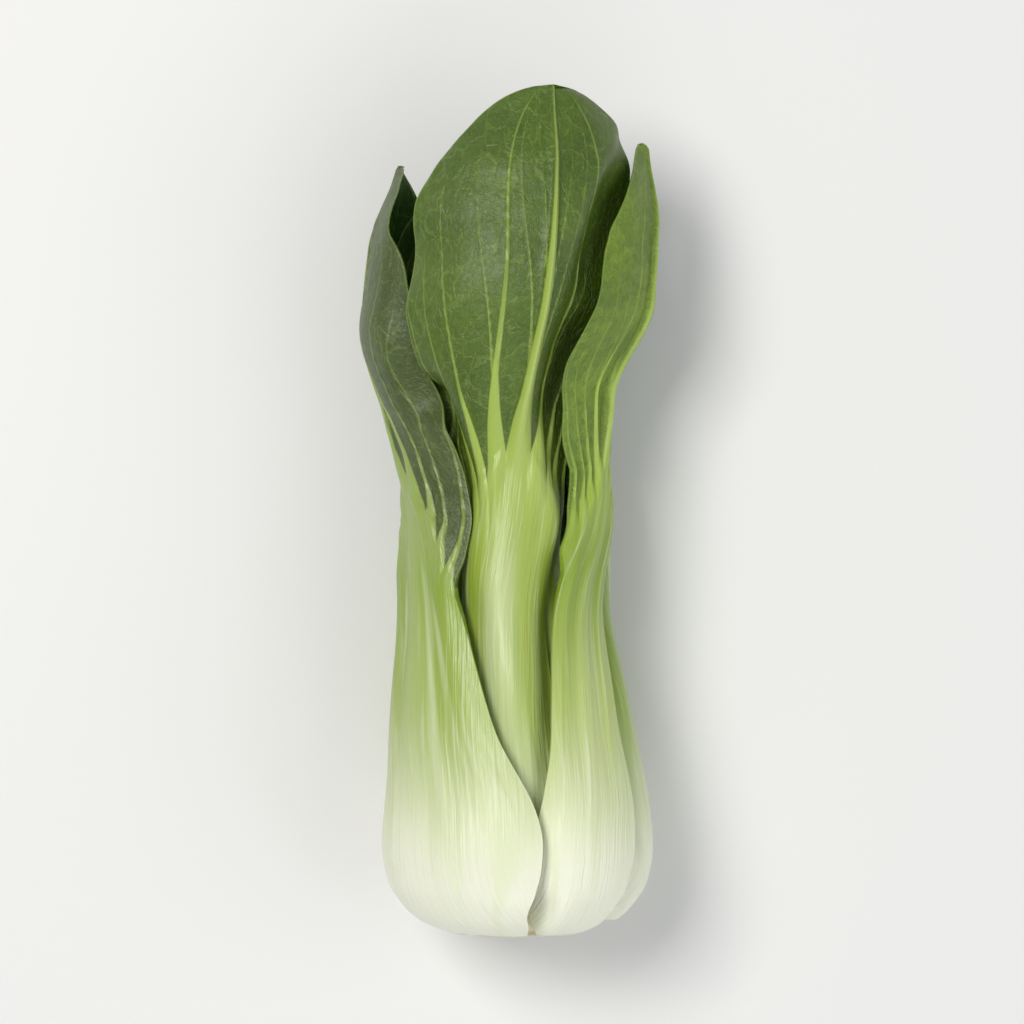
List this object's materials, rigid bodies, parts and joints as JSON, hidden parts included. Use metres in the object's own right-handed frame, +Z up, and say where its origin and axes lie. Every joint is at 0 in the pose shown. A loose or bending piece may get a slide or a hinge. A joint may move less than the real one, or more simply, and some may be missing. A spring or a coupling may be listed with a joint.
{
  "type": "bok choy",
  "caption": "Small head of bok choy lying on its side, with pale swollen stalks that overlap round a cut root and dark green ribbed blades.",
  "frame": {"origin": "on the table, under the middle of the head's box as it lies on its side", "axes": "+Y along the head from its cut root to its leaf tips, +Z up from the table"},
  "size_m": [0.0742, 0.2, 0.0656],
  "materials": {
    "stalk": "smooth and moist, with a soft sheen",
    "inner_stalk": "smooth and moist, with a soft sheen",
    "blade": "satin, finely crinkled leaf",
    "inner_blade": "satin, finely crinkled leaf",
    "cut_stem": "matt cut face"
  },
  "bodies": {
    "root": {"stem_core": "cut_stem", "front_left_stalk": "stalk", "front_left_blade": "blade", "front_right_stalk": "stalk", "front_right_blade": "blade", "underside_stalk": "stalk", "underside_blade": "blade", "front_middle_stalk": "stalk", "front_middle_blade": "blade", "right_side_stalk": "stalk", "right_side_blade": "blade", "left_side_stalk": "stalk", "left_side_blade": "blade", "inner_left_stalk": "inner_stalk", "inner_left_blade": "inner_blade", "inner_right_stalk": "inner_stalk", "inner_right_blade": "inner_blade", "inner_under_stalk": "inner_stalk", "inner_under_blade": "inner_blade", "heart_front_stalk": "inner_stalk", "heart_front_blade": "inner_blade", "heart_left_stalk": "inner_stalk", "heart_left_blade": "inner_blade", "heart_right_stalk": "inner_stalk", "heart_right_blade": "inner_blade"}
  },
  "joints": []
}
